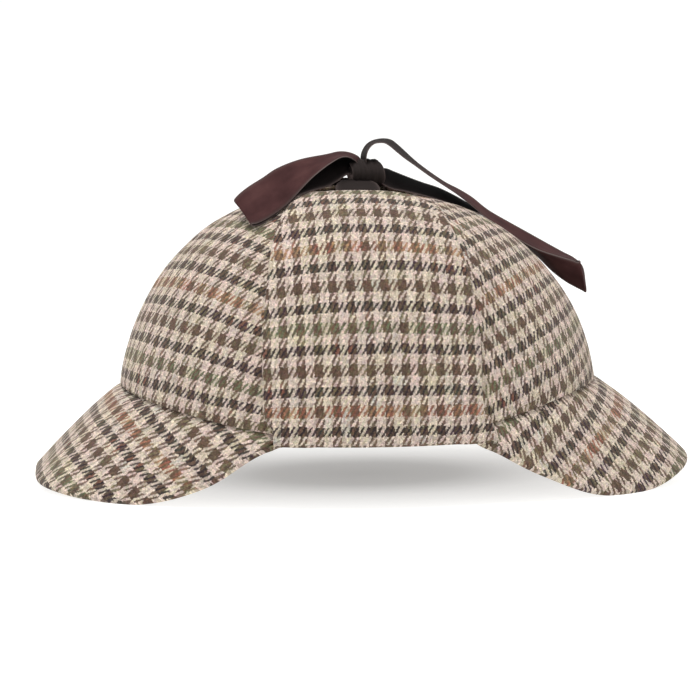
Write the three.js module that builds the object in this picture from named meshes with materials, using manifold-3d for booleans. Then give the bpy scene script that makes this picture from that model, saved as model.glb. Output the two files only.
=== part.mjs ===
// Deerstalker hat: a tweed cap of six gores with a brim at the front and one at the back, and two ear flaps
// that are folded up over the crown and tied on top with a ribbon bow.
// Millimetres. +X is the front of the hat, +Y its left side, +Z up. It stands on its two brims at Z = 0.
import * as THREE from 'three';
import { mergeVertices } from 'three/addons/utils/BufferGeometryUtils.js';
import Module from 'manifold-3d';

// Driving sizes
const GAP = 0.3; // between neighbouring pieces
const CROWN = {
  halfLength: 103, // front to back, at the hem
  halfWidth: 85,
  centreX: -1.4,
  apexX: -6.9,
  apexZ: 123.2,
  wall: 2,
  roundness: 0.745, // how soon the plan closes in towards the apex
  steepness: 1.286, // how soon the wall rises from the hem
  sideHemZ: 27.5, // the hem is lowest above the ears
  seamDip: 0.9, // the seams draw the cloth in by this much
  seamSharpness: 12,
  eyeRadius: 1.5, // where the tips of the gores meet
};
// The gores, by the turns of their seams round the head, in degrees. The seams beside the ears lie under the
// flaps.
const GORES = [
  { name: 'crown_gore_front_left', from: 0, to: 67 },
  { name: 'crown_gore_side_left', from: 67, to: 113 },
  { name: 'crown_gore_back_left', from: 113, to: 180 },
  { name: 'crown_gore_back_right', from: 180, to: 247 },
  { name: 'crown_gore_side_right', from: 247, to: 293 },
  { name: 'crown_gore_front_right', from: 293, to: 360 },
];
const BRIM = {
  thickness: 3,
  rootX: 42.6, // the brim's corners, from the middle of the brims
  middleX: -3.1,
  halfWidth: 80.2,
  rootTurn: (66 * Math.PI) / 180, // how far round the hem each brim is sewn
  rootInset: 1.1, // the middle of its thickness starts under the wall,
  rootDrop: 1.05, // and this far below the gap under it
  lengthPower: 1.83, // the plan of the edge: a soft rectangle
  widthPower: 0.59,
  bow: 1.2, // the middle of the brim stands proud of a straight slope
  edgeLift: 0.85,
};
// The two ends of the hat: how far the brim reaches past its corners, how far the hem rises from the side to
// the middle of the end, and how full that rise is on the way.
const ENDS = [
  { name: 'brim_front', sign: 1, reach: 101.3, hemRise: 15.3, hemShoulder: 14.4 },
  { name: 'brim_back', sign: -1, reach: 95.1, hemRise: 13.7, hemShoulder: 4 },
];
// The height of the brim's edge, by its turn away from the middle of the hat, in degrees
const BRIM_EDGE = [
  { turn: 0, brim_front: 7.5, brim_back: 1.7 },
  { turn: 15, brim_front: 4.9, brim_back: 1.3 },
  { turn: 30, brim_front: -0.3, brim_back: -0.2 },
  { turn: 45, brim_front: 0.1, brim_back: -0.2 },
  { turn: 60, brim_front: 9.9, brim_back: 7.1 },
  { turn: 75, brim_front: 20.6, brim_back: 19.3 },
  { turn: 90, brim_front: 25.4, brim_back: 25.4 },
];
const FLAP = {
  thickness: 2.2,
  clearance: 1.1,
  halfWidth: 44.6,
  footX: 1.8, // the flap leans back a little from its fold to its middle
  middleX: -3,
  leanEnds: 0.45,
  tipY: 14, // the end of the flap, from the middle of the hat
  cornerY: 58, // how much further down the sides end
  cornerPower: 4,
  tuckEnds: [0.62, 0.74], // shares of the half width: the fold stops reaching under the wall between these,
  riseEnds: [0.76, 0.88], // and rises clear of the brim's corners between these
};
const RIBBON_THICKNESS = 1;
const KNOT = { x: 1.2, y: 0, z: 131.7, halfLength: 9, halfWidth: 8, halfHeight: 6.3, seatZ: 125.6 };

// The section of the flap's fold, from its tucked end round to the crown's wall: the inner and the outer
// layer. reach is past the layer where the fold isn't tucked under the wall, and z is from the hem.
const FLAP_FOLD = [
  [
    { reach: 0, tucked: -2.7, z: -0.4, risen: 1.1 },
    { reach: 0, tucked: 0, z: -0.3, risen: 1.5 },
    { reach: 0, tucked: 0, z: 0.5, risen: 2 },
  ],
  [
    { reach: -0.6, tucked: -5.1, z: -2.7, risen: 1.1 },
    { reach: -0.2, tucked: -1.4, z: -2.3, risen: 1.5 },
    { reach: 0, tucked: 0, z: -0.7, risen: 2 },
  ],
];

// Blocks that cut a piece level, wider than any piece
const LEVEL_CUTTER = { side: 400, depth: 20 };

// Mesh densities
const GORE_CELLS = { around: 8, up: 12 };
const BRIM_CELLS = { along: 36, across: 5 };
const FLAP_CELLS = { across: 16, up: 16 };
const RIBBON_STEPS_PER_ROW = 2;
const KNOT_CELLS = { around: 20, up: 14 };

// Steps for measuring a slope: in millimetres on the crown, as a share of its length on a brim, and as a
// share of one step along a ribbon
const CROWN_SLOPE_STEP = 0.05;
const BRIM_SLOPE_STEP = 1e-3;
const RIBBON_SLOPE_STEP = 0.2;
const PLAN_ROUNDS = 12; // of finding the share and turn of a place in the plan
const UPRIGHT_SHARE = 0.995; // past this share of the plan the wall counts as upright

const { sin, cos, acos, atan2, hypot, sqrt, abs, sign, min, max, PI } = Math;
const mix = (a, b, t) => a + (b - a) * t;
const smooth = (t) => {
  const u = min(max(t, 0), 1);
  return u * u * (3 - 2 * u);
};

// Closed bodies

// A sheet of cloth as a closed body, from two grids of points: its face and its back.
function sheetBody(face, back) {
  const rows = face.length;
  const columns = face[0].length;
  const positions = [];
  for (const grid of [face, back]) for (const row of grid) for (const p of row) positions.push(p.x, p.y, p.z);
  const at = (side, i, j) => side * rows * columns + i * columns + j;
  const triangles = [];
  const quad = (a, b, c, d) => triangles.push(a, b, c, a, c, d);
  for (let i = 0; i < rows - 1; i++) {
    for (let j = 0; j < columns - 1; j++) {
      quad(at(0, i, j), at(0, i + 1, j), at(0, i + 1, j + 1), at(0, i, j + 1));
      quad(at(1, i, j), at(1, i, j + 1), at(1, i + 1, j + 1), at(1, i + 1, j));
    }
  }
  const rim = [];
  for (let j = 0; j < columns - 1; j++) rim.push([0, j]);
  for (let i = 0; i < rows - 1; i++) rim.push([i, columns - 1]);
  for (let j = columns - 1; j > 0; j--) rim.push([rows - 1, j]);
  for (let i = rows - 1; i > 0; i--) rim.push([i, 0]);
  rim.forEach(([i, j], k) => {
    const [m, n] = rim[(k + 1) % rim.length];
    quad(at(0, i, j), at(0, m, n), at(1, m, n), at(1, i, j));
  });
  return facingOut(positions, triangles);
}

function facingOut(positions, triangles) {
  const point = (k) => new THREE.Vector3().fromArray(positions, 3 * k);
  let volume = 0;
  for (let k = 0; k < triangles.length; k += 3) {
    const [a, b, c] = [0, 1, 2].map((m) => point(triangles[k + m]));
    volume += a.dot(b.cross(c));
  }
  const geometry = new THREE.BufferGeometry();
  geometry.setAttribute('position', new THREE.Float32BufferAttribute(positions, 3));
  geometry.setIndex(volume > 0 ? triangles : triangles.toReversed());
  return geometry;
}

const wasm = await Module();
wasm.setup();

function toSolid(geometry) {
  const bare = geometry.clone();
  bare.deleteAttribute('normal');
  bare.deleteAttribute('uv');
  const merged = mergeVertices(bare);
  const mesh = new wasm.Mesh({
    numProp: 3,
    vertProperties: new Float32Array(merged.attributes.position.array),
    triVerts: new Uint32Array(merged.index.array),
  });
  return new wasm.Manifold(mesh);
}

function toGeometry(solid) {
  const mesh = solid.getMesh();
  const geometry = new THREE.BufferGeometry();
  geometry.setAttribute('position', new THREE.Float32BufferAttribute(mesh.vertProperties, 3));
  geometry.setIndex(Array.from(mesh.triVerts));
  return geometry;
}

const cut = (geometry, tool) => toGeometry(toSolid(geometry).subtract(toSolid(tool)));

function blockBelow(z) {
  const { side, depth } = LEVEL_CUTTER;
  return new THREE.BoxGeometry(side, side, depth).translate(0, 0, z - depth / 2);
}

// Crown

const frontness = (turn) => 0.5 * (1 + Math.tanh(4 * cos(turn)));

function hemZ(turn) {
  const [front, back] = ENDS;
  const c2 = cos(turn) ** 2;
  const rise = mix(back.hemRise, front.hemRise, frontness(turn));
  const shoulder = mix(back.hemShoulder, front.hemShoulder, frontness(turn));
  return CROWN.sideHemZ + rise * c2 + shoulder * c2 * (1 - c2);
}

// A point of the crown, by its turn round the head and its share of the plan (1 at the hem, 0 at the apex).
// inset moves it inwards, as the inside of the wall.
function crownPoint(turn, share, inset = 0, dip = 0) {
  const climb = acos(share ** (1 / CROWN.roundness));
  const foot = hemZ(turn);
  const x = mix(CROWN.apexX, CROWN.centreX, share) + (CROWN.halfLength - inset - dip) * cos(turn) * share;
  const y = (CROWN.halfWidth - inset - dip) * sin(turn) * share;
  return new THREE.Vector3(x, y, foot + (CROWN.apexZ - inset - foot) * sin(climb) ** CROWN.steepness);
}

// The crown's outside as a height above the plan
function crownZ(x, y) {
  let share = 1;
  let turn = 0;
  for (let round = 0; round < PLAN_ROUNDS; round++) {
    const u = (x - mix(CROWN.apexX, CROWN.centreX, share)) / CROWN.halfLength;
    const v = y / CROWN.halfWidth;
    share = min(hypot(u, v), 1);
    turn = atan2(v, u);
  }
  return crownPoint(turn, share).z;
}

// The direction that points out of the crown at a place of the plan. Near the hem the wall stands upright.
function crownNormal(x, y) {
  const step = CROWN_SLOPE_STEP;
  const [u, v] = [(x - CROWN.centreX) / CROWN.halfLength, y / CROWN.halfWidth];
  if (hypot(u, v) > UPRIGHT_SHARE) {
    return new THREE.Vector3(u / CROWN.halfLength, v / CROWN.halfWidth, 0).normalize();
  }
  const slopeX = (crownZ(x + step, y) - crownZ(x - step, y)) / (2 * step);
  const slopeY = (crownZ(x, y + step) - crownZ(x, y - step)) / (2 * step);
  return new THREE.Vector3(-slopeX, -slopeY, 1).normalize();
}

function goreBody({ from, to }) {
  const highestClimb = acos((CROWN.eyeRadius / CROWN.halfLength) ** (1 / CROWN.roundness));
  const face = [];
  const back = [];
  for (let j = 0; j <= GORE_CELLS.up; j++) {
    const share = cos((highestClimb * j) / GORE_CELLS.up) ** CROWN.roundness;
    const outer = [];
    const inner = [];
    for (let i = 0; i <= GORE_CELLS.around; i++) {
      const across = i / GORE_CELLS.around;
      const turn = (mix(from, to, across) * PI) / 180;
      const radius = share * hypot(CROWN.halfLength * cos(turn), CROWN.halfWidth * sin(turn));
      const margin = (GAP / 2 / radius) * (1 - 2 * across);
      const dip = CROWN.seamDip * abs(2 * across - 1) ** CROWN.seamSharpness * (1 - share ** 4);
      outer.push(crownPoint(turn + margin, share, 0, dip));
      inner.push(crownPoint(turn + margin, share, CROWN.wall, dip));
    }
    face.push(outer);
    back.push(inner);
  }
  return sheetBody(face, back);
}

// Brims

const edgeHeights = Object.fromEntries(
  ENDS.map(({ name }) => {
    const half = BRIM_EDGE.map((row) => new THREE.Vector3(row.turn, row[name], 0));
    const other = half.slice(1).map((p) => new THREE.Vector3(-p.x, p.y, 0)).reverse();
    return [name, new THREE.CatmullRomCurve3([...other, ...half], false, 'catmullrom', 0.5)];
  }),
);

function brimBody({ name, sign: end, reach }) {
  const surface = (along, across) => {
    const turn = (along * PI) / 2;
    const hemTurn = end > 0 ? along * BRIM.rootTurn : PI - along * BRIM.rootTurn;
    const root = crownPoint(hemTurn, 1, BRIM.rootInset);
    root.z -= GAP + BRIM.rootDrop;
    const width = BRIM.halfWidth * sign(turn) * abs(sin(turn)) ** BRIM.widthPower;
    const height = edgeHeights[name].getPoint((along + 1) / 2).y + BRIM.edgeLift;
    const length = BRIM.rootX + reach * abs(cos(turn)) ** BRIM.lengthPower;
    const edge = new THREE.Vector3(BRIM.middleX + end * length, width, height);
    const point = root.lerp(edge, across);
    const bow = BRIM.bow * sin(PI * across) * cos(turn);
    return point.add(new THREE.Vector3(end * bow * Math.SQRT1_2, 0, bow * Math.SQRT1_2));
  };
  const face = [];
  const back = [];
  const step = BRIM_SLOPE_STEP;
  for (let i = 0; i <= BRIM_CELLS.along; i++) {
    const along = mix(-1, 1, i / BRIM_CELLS.along);
    const upper = [];
    const lower = [];
    for (let j = 0; j <= BRIM_CELLS.across; j++) {
      const across = j / BRIM_CELLS.across;
      const point = surface(along, across);
      const alongSide = surface(min(along + step, 1), across).sub(surface(max(along - step, -1), across));
      const acrossSide = surface(along, across + step).sub(surface(along, across - step));
      const normal = alongSide.cross(acrossSide).normalize();
      if (normal.z < 0) normal.negate();
      upper.push(point.clone().addScaledVector(normal, BRIM.thickness / 2));
      lower.push(point.clone().addScaledVector(normal, -BRIM.thickness / 2));
    }
    face.push(upper);
    back.push(lower);
  }
  return cut(sheetBody(face, back), blockBelow(0));
}

// Ear flaps: each is sewn to the hem above the ear, folded up, and lies over the crown.

function flapBody(side) {
  const layers = [FLAP.clearance, FLAP.clearance + FLAP.thickness];
  const grids = [[], []];
  for (let i = 0; i <= FLAP_CELLS.across; i++) {
    const s = sin(mix(-PI / 2, PI / 2, i / FLAP_CELLS.across));
    const columns = flapColumn(s);
    for (const layer of [0, 1]) grids[layer].push(columns.map((station) => station(layers[layer], layer)));
  }
  for (const grid of grids) for (const row of grid) for (const p of row) p.y *= side;
  return sheetBody(grids[1], grids[0]);
}

// One line of stations up the flap, s from -1 at its back edge to 1 at its front edge. The first stations go
// round the fold under the hem, and the rest climb the crown.
function flapColumn(s) {
  const middle = (t) => mix(FLAP.footX, FLAP.middleX, smooth(t / FLAP.leanEnds));
  const place = (t) => middle(t) + s * FLAP.halfWidth;
  const onCrown = (t) => {
    const x = place(t);
    const foot = CROWN.halfWidth * sqrt(1 - ((x - CROWN.centreX) / CROWN.halfLength) ** 2);
    const last = acos((FLAP.tipY + FLAP.cornerY * abs(s) ** FLAP.cornerPower) / foot);
    const y = foot * cos(t * last);
    return new THREE.Vector3(x, y, crownZ(x, y));
  };
  const fade = ([from, to]) => 1 - smooth((abs(s) - from) / (to - from));
  const tuck = fade(FLAP.tuckEnds);
  const drop = fade(FLAP.riseEnds);
  const foot = onCrown(0);
  const out = crownNormal(foot.x, foot.y);
  const below = (reach, z) => foot.clone().addScaledVector(out, reach).add(new THREE.Vector3(0, 0, z));
  const foldStation = ({ reach, tucked, z, risen }) => {
    return (layer) => below(layer + mix(reach, tucked, tuck), mix(risen, z, drop));
  };
  const [inner, outer] = FLAP_FOLD.map((rows) => rows.map(foldStation));
  const stations = inner.map((station, k) => (layer, isOuter) => (isOuter ? outer[k] : station)(layer));
  for (let k = 1; k <= FLAP_CELLS.up; k++) {
    const t = k / FLAP_CELLS.up;
    const point = onCrown(t);
    stations.push((layer) => point.clone().addScaledVector(crownNormal(point.x, point.y), layer));
  }
  return stations;
}

// Ribbon: a strip between two edges, each a smooth line through the rows' points

function ribbonBody(rows) {
  const edge = (key) => {
    const points = rows.map((row) => new THREE.Vector3(...row[key]));
    return new THREE.CatmullRomCurve3(points, false, 'centripetal');
  };
  const near = edge('near');
  const far = edge('far');
  const steps = (rows.length - 1) * RIBBON_STEPS_PER_ROW;
  const face = [];
  const back = [];
  for (let i = 0; i <= steps; i++) {
    const u = i / steps;
    const ends = [near.getPoint(u), far.getPoint(u)];
    const step = RIBBON_SLOPE_STEP / steps;
    const [u0, u1] = [max(u - step, 0), min(u + step, 1)];
    const along = near.getPoint(u1).add(far.getPoint(u1)).sub(near.getPoint(u0)).sub(far.getPoint(u0));
    const normal = along.cross(ends[1].clone().sub(ends[0])).normalize();
    face.push(ends.map((p) => p.clone().addScaledVector(normal, RIBBON_THICKNESS / 2)));
    back.push(ends.map((p) => p.clone().addScaledVector(normal, -RIBBON_THICKNESS / 2)));
  }
  return sheetBody(face, back);
}

// The back loop: up and out of the knot, down over the near edge of the crown, and back along it
const BACK_LOOP = [
  { near: [-1, -9, 133], far: [-1, 9, 134.5] },
  { near: [-7.5, -12, 138.5], far: [-6, 7, 140] },
  { near: [-14.4, -14, 136.6], far: [-15.7, 4.5, 139.4] },
  { near: [-21.5, -17, 132.2], far: [-24.5, 1, 138.3] },
  { near: [-28, -20.5, 127.2], far: [-32, -4, 136] },
  { near: [-34, -27, 121.2], far: [-40, -11, 132] },
  { near: [-41.5, -34, 114.2], far: [-50, -20, 125.5] },
  { near: [-48.3, -33, 112.4], far: [-56, -17.5, 121.5] },
  { near: [-47.3, -29.5, 114], far: [-54.8, -14, 119.2] },
  { near: [-38, -20, 119.6], far: [-42, -2, 122] },
  { near: [-27, -12, 124.2], far: [-29, 6, 124.6] },
  { near: [-15, -11.5, 126.4], far: [-15, 6.5, 126.6] },
  { near: [-8, -10.5, 129.4], far: [-8, 7, 129.6] },
  { near: [-2, -8, 131], far: [-2, 7, 131] },
];
// The front loop: a high arch out of the top of the knot, out past the shoulder of the crown, and back
// along it
const FRONT_LOOP = [
  { near: [0.5, -7, 133], far: [0.5, 9, 134] },
  { near: [1.3, -8, 140.7], far: [1.3, 12, 142.3] },
  { near: [5.1, -6, 143.6], far: [5.1, 14, 145.4] },
  { near: [9.5, -5.5, 144.6], far: [9.5, 14.5, 146] },
  { near: [16, -5, 142.4], far: [16.3, 15, 143.8] },
  { near: [22.8, -4, 137], far: [23.4, 16, 137.6] },
  { near: [29.9, -3, 132], far: [29.9, 17, 131.4] },
  { near: [37.1, -2, 127.2], far: [37.1, 18, 126] },
  { near: [44.3, -1, 122.8], far: [44.3, 19, 121.4] },
  { near: [53.3, 0, 116.6], far: [54, 20, 116.2] },
  { near: [62, 3, 110.3], far: [63.5, 22.7, 111] },
  { near: [73, 6, 103], far: [74.5, 25, 104.2] },
  { near: [84, 8, 96.8], far: [86, 26, 98] },
  { near: [92.5, 8, 93.4], far: [95, 26.5, 90.5] },
  { near: [97.5, 8, 91.2], far: [101.7, 20.5, 76.6] },
  { near: [95.2, 10.5, 88.2], far: [98.6, 22.8, 75.4] },
  { near: [87, 10.5, 90.6], far: [90, 26, 80.4] },
  { near: [78.4, 10, 94.6], far: [80, 28, 88] },
  { near: [70, 9, 101.2], far: [71, 28, 98.4] },
  { near: [61, 6.5, 108.2], far: [62, 26, 107] },
  { near: [52, 2, 114], far: [52.5, 21, 113.6] },
  { near: [44, -0.5, 117.8], far: [44, 19, 118.4] },
  { near: [34, -2, 121], far: [34, 17.5, 123.2] },
  { near: [23.5, -3, 123.4], far: [23.5, 16, 127.2] },
  { near: [15, -3.5, 125.4], far: [15, 15, 129.8] },
  { near: [9, -4, 128.6], far: [9, 13, 131.4] },
  { near: [4, -6, 131], far: [4, 9, 132] },
];
// The tails lie over the left ear flap. Their rows name the middle, from the knot outwards, and its lift
// above the crown.
const TAILS = [
  {
    name: 'bow_tail_front',
    rows: [
      { x: 5, y: 3, lift: 4.6, width: 7 },
      { x: 7.5, y: 11, lift: 4.6, width: 11 },
      { x: 9.5, y: 21, lift: 5, width: 16 },
      { x: 13, y: 32, lift: 5, width: 19 },
      { x: 17.5, y: 43, lift: 5, width: 19 },
      { x: 22, y: 53, lift: 5, width: 19 },
    ],
  },
  {
    name: 'bow_tail_back',
    rows: [
      { x: -2.6, y: 3, lift: 4.6, width: 7 },
      { x: -6, y: 11, lift: 4.6, width: 11 },
      { x: -10.5, y: 21, lift: 5, width: 16 },
      { x: -15.5, y: 31, lift: 5, width: 19 },
      { x: -21, y: 41, lift: 5, width: 19 },
      { x: -26.5, y: 50, lift: 5, width: 19 },
    ],
  },
];
// The ties come in from the tips of the two flaps and meet under the knot
const TIE_X = 0.6;
const TIE = [
  { reach: 13.6, z: 124.4, width: 18 },
  { reach: 9, z: 124.5, width: 16.5 },
  { reach: 4.5, z: 124.6, width: 15 },
  { reach: 0.2, z: 124.6, width: 14 },
];

function laidOnCrown({ x, y, lift, width }) {
  const out = crownNormal(x, y);
  const middle = new THREE.Vector3(x, y, crownZ(x, y)).addScaledVector(out, lift);
  const half = new THREE.Vector3(out.z, 0, -out.x).setLength(width / 2);
  return { near: middle.clone().sub(half).toArray(), far: middle.clone().add(half).toArray() };
}
const level = ({ x, y, z, width }) => ({ near: [x - width / 2, y, z], far: [x + width / 2, y, z] });

function knotGeometry(grow = 0) {
  const knot = new THREE.SphereGeometry(1, KNOT_CELLS.around, KNOT_CELLS.up);
  knot.rotateX(PI / 2);
  knot.scale(KNOT.halfLength + grow, KNOT.halfWidth + grow, KNOT.halfHeight + grow);
  return knot.translate(KNOT.x, KNOT.y, KNOT.z);
}

const knotBody = () => cut(knotGeometry(), blockBelow(KNOT.seatZ));

// The hat

const tweed = (color) => new THREE.MeshStandardMaterial({ color, roughness: 0.95, metalness: 0 });
const satin = () => new THREE.MeshStandardMaterial({ color: 0x3a2527, roughness: 0.45, metalness: 0 });
const piece = (name, geometry, material) => {
  const mesh = new THREE.Mesh(geometry, material);
  mesh.name = name;
  return mesh;
};

const hat = new THREE.Group();
const crown = new THREE.Group();
const brims = new THREE.Group();
const flaps = new THREE.Group();
const bow = new THREE.Group();
hat.add(crown, brims, flaps, bow);

for (const gore of GORES) crown.add(piece(gore.name, goreBody(gore), tweed(0x9c8674)));
for (const end of ENDS) brims.add(piece(end.name, brimBody(end), tweed(0x937d6b)));
flaps.add(piece('ear_flap_left', flapBody(1), tweed(0xa08a78)));
flaps.add(piece('ear_flap_right', flapBody(-1), tweed(0xa08a78)));

const tieRows = (side) => TIE.map(({ reach, z, width }) => level({ x: TIE_X, y: side * reach, z, width }));
const clearOfKnot = (geometry) => cut(geometry, knotGeometry(GAP));
bow.add(piece('ribbon_tie_left', ribbonBody(tieRows(1)), satin()));
bow.add(piece('ribbon_tie_right', ribbonBody(tieRows(-1)), satin()));
bow.add(piece('bow_knot', knotBody(), satin()));
bow.add(piece('bow_loop_front', clearOfKnot(ribbonBody(FRONT_LOOP)), satin()));
bow.add(piece('bow_loop_back', clearOfKnot(ribbonBody(BACK_LOOP)), satin()));
for (const { name, rows } of TAILS) {
  const tail = clearOfKnot(ribbonBody(rows.map(laidOnCrown)));
  bow.add(piece(name, tail, satin()));
}

export default hat;
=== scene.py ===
# %% [markdown]
# # A tweed deerstalker hat
# A deerstalker is a wool cap cut from gores, with a brim at the front and another at the back, and two ear
# flaps that tie together over the top. The shapes could be sculpted by eye, but a sewn hat is better
# described by its few curves, so every piece below is a grid of points worked out from them. The frame
# loaded here holds the measured solids, and each fine piece takes the place of one of them.

# %% Load the measured frame
import math

import bpy
import numpy as np
from mathutils import Matrix


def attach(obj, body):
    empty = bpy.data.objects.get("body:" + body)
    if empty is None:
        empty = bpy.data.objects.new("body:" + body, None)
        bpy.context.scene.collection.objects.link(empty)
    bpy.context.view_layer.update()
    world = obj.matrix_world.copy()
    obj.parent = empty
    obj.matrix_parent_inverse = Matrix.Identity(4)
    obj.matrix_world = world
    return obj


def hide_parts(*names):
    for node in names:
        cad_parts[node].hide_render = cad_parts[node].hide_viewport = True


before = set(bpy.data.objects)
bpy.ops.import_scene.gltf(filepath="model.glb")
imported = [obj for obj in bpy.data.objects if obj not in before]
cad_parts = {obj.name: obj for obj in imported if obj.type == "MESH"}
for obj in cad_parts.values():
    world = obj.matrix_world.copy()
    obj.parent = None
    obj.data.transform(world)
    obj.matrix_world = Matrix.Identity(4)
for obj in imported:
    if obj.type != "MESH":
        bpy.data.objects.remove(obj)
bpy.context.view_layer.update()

MM = 0.001  # the sizes below are in millimetres

# %% [markdown]
# ## Where the picture is taken from
# The camera stands a long step away from the wearer's right side, a little above the hat and slightly
# behind its middle. It could be placed by trial, but its height, turn and distance were worked out from the
# curves of the hem, so they are given as such. The lens is long, as for any product picture, and keeps the
# brims in proportion.

# %% Camera
ELEVATION = math.radians(6.99)
AZIMUTH = math.radians(-5.82)
DISTANCE = 1206.4
TARGET = np.array([-3.1, 0.0, 70.0])
TARGET_PIXEL = np.array([354.0, 314.3])  # where the target is seen in the picture
PICTURE, SENSOR, LENS = 700, 36, 143.05

right = np.array([math.cos(AZIMUTH), math.sin(AZIMUTH), 0.0])
backward = np.array([
    math.sin(AZIMUTH) * math.cos(ELEVATION),
    -math.cos(AZIMUTH) * math.cos(ELEVATION),
    math.sin(ELEVATION),
])
upward = np.cross(backward, right)
eye = TARGET + backward * DISTANCE


def put(thing, axes, at):
    """Adds a thing to the scene at a point in metres, with its own axes along the given ones."""
    place = np.eye(4)
    place[:3, :3], place[:3, 3] = np.stack(axes, 1), at
    thing.matrix_world = Matrix(place.tolist())
    bpy.context.collection.objects.link(thing)


camera_data = bpy.data.cameras.new("camera")
camera_data.lens = LENS
camera_data.shift_x = float(0.5 - TARGET_PIXEL[0] / PICTURE)
camera_data.shift_y = float(TARGET_PIXEL[1] / PICTURE - 0.5)
camera = bpy.data.objects.new("camera", camera_data)
put(camera, (right, upward, backward), eye * MM)
bpy.context.scene.camera = camera
print("camera at, m:", np.round(eye * MM, 3).tolist())

# %% [markdown]
# ## Sums in a shader
# A woven pattern is arithmetic: which thread is this, and which one lies on top? Linking Math nodes by hand
# for that is slow and hard to read. A small class that wraps one output and understands +, -, * and the
# rest lets the pattern be written as it would be on squared paper.

# %% One output of a shader, with arithmetic
def operator(operation):
    """An operator of a Wire and its reflected form. Each adds one Math node."""
    def forward(self, other):
        return self.math(operation, self, other)

    def reflected(self, other):
        return self.math(operation, other, self)

    return forward, reflected


class Wire:
    def __init__(self, tree, socket=None):
        self.tree, self.socket = tree, socket

    def node(self, kind, settings=None, sockets=None, out=0):
        made = self.tree.nodes.new("ShaderNode" + kind)
        for name, value in (settings or {}).items():
            if name == "stops":
                for k, (at, colour) in enumerate(value):
                    stop = made.color_ramp.elements[k] if k < 2 else made.color_ramp.elements.new(at)
                    stop.position, stop.color = at, (*colour, 1)
            else:
                setattr(made, name, value)
        for name, value in (sockets or {}).items():
            if isinstance(value, Wire):
                self.tree.links.new(value.socket, made.inputs[name])
            else:
                made.inputs[name].default_value = value
        return Wire(self.tree, made.outputs[out])

    def math(self, operation, *values):
        return self.node("Math", {"operation": operation}, dict(enumerate(values)))

    __add__, __radd__ = operator("ADD")
    __sub__, __rsub__ = operator("SUBTRACT")
    __mul__, __rmul__ = operator("MULTIPLY")
    __truediv__, __rtruediv__ = operator("DIVIDE")
    __mod__, __rmod__ = operator("FLOORED_MODULO")
    __pow__, __rpow__ = operator("POWER")
    __lt__, __gt__ = operator("LESS_THAN")

    def __abs__(self):
        return self.math("ABSOLUTE", self)

    def whole(self):
        return self.math("FLOOR", self)

    def wave(self):
        return self.math("SINE", self)

    def vector(self, y=0.0, z=0.0):
        return self.node("CombineXYZ", None, {"X": self, "Y": y, "Z": z})

    def parts(self):
        split = self.node("SeparateXYZ", None, {"Vector": self})
        return [Wire(self.tree, out) for out in split.socket.node.outputs]

    def noise(self, scale, detail=2.0, roughness=0.5, out=0):
        sockets = {"Vector": self, "Scale": scale, "Detail": detail, "Roughness": roughness}
        return self.node("TexNoise", None, sockets, out)

    def ramp(self, stops):
        return self.node("ValToRGB", {"stops": stops}, {"Fac": self})

    def choose(self, low, high):
        low, high = [(*c, 1) if isinstance(c, tuple) else c for c in (low, high)]
        return self.node("Mix", {"data_type": "RGBA"}, {0: self, 6: low, 7: high}, 2)

    def blended(self, how, other, factor=1.0):
        return self.node("Mix", {"data_type": "RGBA", "blend_type": how}, {0: factor, 6: self, 7: other}, 2)

    def between(self, low, high):
        return self.node("Mix", {"data_type": "FLOAT"}, {0: self, 2: low, 3: high})

    def grey(self):
        return self.node("CombineColor", None, {"Red": self, "Green": self, "Blue": self})


def new_material(name, plain):
    """A material, a Wire to start its nodes from, and its shader, with the sockets that are plain set."""
    material = bpy.data.materials.new(name)
    material.use_nodes = True
    tree = material.node_tree
    shader = tree.nodes["Principled BSDF"]
    for socket, value in plain.items():
        shader.inputs[socket].default_value = value
    return material, Wire(tree), shader


def connect(wire, shader, name):
    wire.tree.links.new(wire.socket, shader.inputs[name])


# %% [markdown]
# ## Studio
# The hat stands in a round cove of white paper: a floor that curves up into a low wall on all sides. A
# floor and a plain background would meet in a visible line, and the cove has none. The paper glows, as a
# lit table for product pictures does. Its glow is painted lower just under the hat, as a soft grey painted
# shadow, and highest in a ring close round the hat, as painted light. A broad lamp above gives the crown its
# roundness.

# %% Floor, surroundings and lamps
FLOOR_GREY, WALL_GREY, WALL_GLOW = 0.42, 0.6, 0.50
# the glow is painted low under the hat as its shadow, and highest about 8 cm out as a painted ring of light
TABLE_GLOW_WITH_PAINTED_SHADOW = [(0.0, 0.33), (0.026, 0.38), (0.052, 0.66), (0.08, 0.84), (0.3, 0.68)]  # distance in m, glow
PAINTED_SHADOW_SHAPE = (0.62, 1.0, 0.0)  # the darker patch is longer than it is wide
PAPER_YELLOW = 0.99


def paper(name, grey, glow):
    """White paper glowing by one number all over, or by (distance from the hat, glow) pairs that paint a
    shadow.
    """
    plain = {"Base Color": (grey, grey, grey * 0.995, 1), "Roughness": 0.9, "Specular IOR Level": 0.1,
             "Emission Strength": 1.0}
    if not isinstance(glow, list):
        plain["Emission Color"] = (glow, glow, glow * PAPER_YELLOW, 1)
    material, w, shader = new_material(name, plain)
    if isinstance(glow, list):
        # a list paints the hat's shadow on the paper: an oval of lower glow under the hat
        at = w.node("TexCoord", out=3)
        oval = at.node("VectorMath", {"operation": "MULTIPLY"}, {0: at, 1: PAINTED_SHADOW_SHAPE})
        away = oval.node("VectorMath", {"operation": "LENGTH"}, {0: oval}, 1)
        stops = [(reach, (g, g, g * PAPER_YELLOW)) for reach, g in glow]
        connect(away.ramp(stops), shader, "Emission Color")
    return material


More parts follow.
